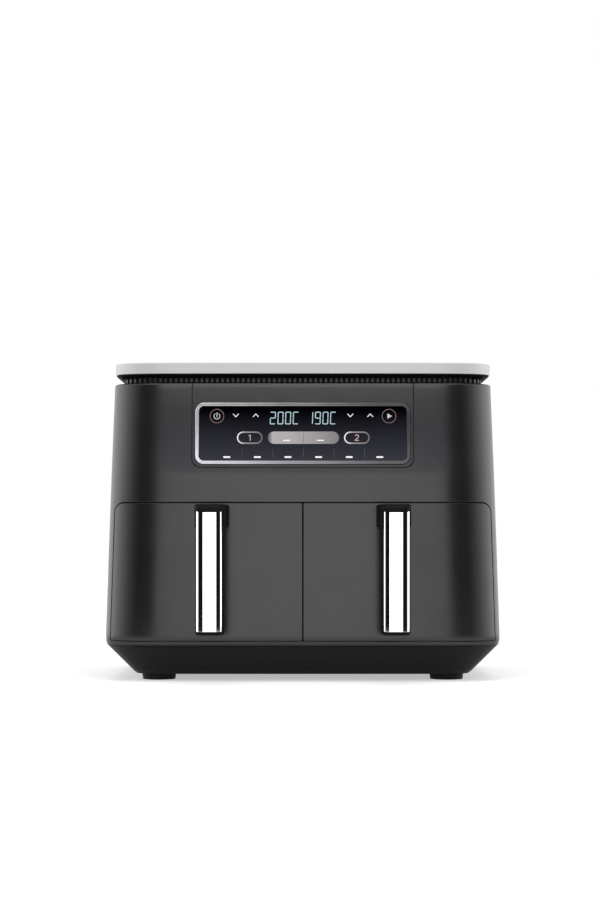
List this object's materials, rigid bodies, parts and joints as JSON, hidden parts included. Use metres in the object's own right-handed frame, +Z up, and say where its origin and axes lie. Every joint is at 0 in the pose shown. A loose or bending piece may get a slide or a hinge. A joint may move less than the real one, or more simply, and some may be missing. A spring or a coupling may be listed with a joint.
{
  "type": "air fryer",
  "caption": "Countertop air fryer with two side-by-side pull-out drawers, vertical chrome handles, a leaning touch control panel and a pale lid over a ribbed vent neck.",
  "frame": {"origin": "middle of the footprint, on the surface that the feet stand on", "axes": "+X to the right, the front with the handles faces -Y, +Z up"},
  "size_m": [0.39, 0.325, 0.3125],
  "materials": {
    "housing": "dark grey moulded plastic with a fine satin grain",
    "drawer": "dark grey moulded plastic with a fine satin grain, as the housing",
    "base": "near-black matt plastic",
    "neck": "black matt plastic",
    "lid": "pale silver-grey satin",
    "inner_plastic": "black heat-resistant plastic",
    "handle": "black satin-gloss plastic",
    "chrome": "polished chrome plate",
    "bezel": "satin silver",
    "glass": "black gloss touch glass, opaque but for its lit figures",
    "board": "green circuit board",
    "steel": "plain zinc-plated steel",
    "chamber_steel": "aluminised sheet steel",
    "wire": "bright wire",
    "coil": "oxidised heating tube",
    "motor": "zinc-plated motor can",
    "fan": "pressed aluminium",
    "nonstick": "dark non-stick coating on steel",
    "rubber": "black rubber",
    "bumper": "black silicone"
  },
  "bodies": {
    "cabinet": {"outer_housing": "housing", "base_pan": "base", "back_panel": "base", "cord_inlet": "rubber", "front_frame": "inner_plastic", "vent_neck": "neck", "lid_tray": "neck", "lid_plate": "lid", "control_facia": "housing", "bezel": "bezel", "touch_glass": "glass", "display_board": "board", "power_board": "board", "front_left_foot": "rubber", "front_right_foot": "rubber", "back_left_foot": "rubber", "back_right_foot": "rubber", "foot_screws": "steel", "left_chamber": "chamber_steel", "right_chamber": "chamber_steel", "left_rails": "steel", "right_rails": "steel", "left_exhaust_duct": "steel", "right_exhaust_duct": "steel", "left_drawer_switch": "inner_plastic", "right_drawer_switch": "inner_plastic", "left_coil": "coil", "right_coil": "coil", "left_coil_guard": "wire", "right_coil_guard": "wire", "left_motor_bracket": "steel", "right_motor_bracket": "steel", "left_motor": "motor", "right_motor": "motor"},
    "left_drawer": {"left_drawer_front": "drawer", "left_door_liner": "inner_plastic", "left_tub": "nonstick", "left_handle": "handle", "left_handle_cover": "chrome"},
    "left_crisper": {"left_crisper_plate": "nonstick", "left_crisper_bumpers": "bumper"},
    "left_fan_rotor": {"left_fan_shaft": "steel", "left_fan": "fan", "left_cooling_fan": "inner_plastic"},
    "right_drawer": {"right_drawer_front": "drawer", "right_door_liner": "inner_plastic", "right_tub": "nonstick", "right_handle": "handle", "right_handle_cover": "chrome"},
    "right_crisper": {"right_crisper_plate": "nonstick", "right_crisper_bumpers": "bumper"},
    "right_fan_rotor": {"right_fan_shaft": "steel", "right_fan": "fan", "right_cooling_fan": "inner_plastic"}
  },
  "joints": [
    {"name": "left_drawer_slide", "type": "slide", "parent": "cabinet", "child": "left_drawer", "axis": [0, -1, 0], "range_m": [0, 0.2]},
    {"name": "left_crisper_lift", "type": "slide", "parent": "left_drawer", "child": "left_crisper", "axis": [0, 0, 1], "range_m": [0, 0.09]},
    {"name": "left_fan_spin", "type": "hinge", "parent": "cabinet", "child": "left_fan_rotor", "pos_m": [-0.093, 0.0211, 0.2], "axis": [0, 0, 1], "continuous": true},
    {"name": "right_drawer_slide", "type": "slide", "parent": "cabinet", "child": "right_drawer", "axis": [0, -1, 0], "range_m": [0, 0.2]},
    {"name": "right_crisper_lift", "type": "slide", "parent": "right_drawer", "child": "right_crisper", "axis": [0, 0, 1], "range_m": [0, 0.09]},
    {"name": "right_fan_spin", "type": "hinge", "parent": "cabinet", "child": "right_fan_rotor", "pos_m": [0.093, 0.0211, 0.2], "axis": [0, 0, 1], "continuous": true}
  ]
}
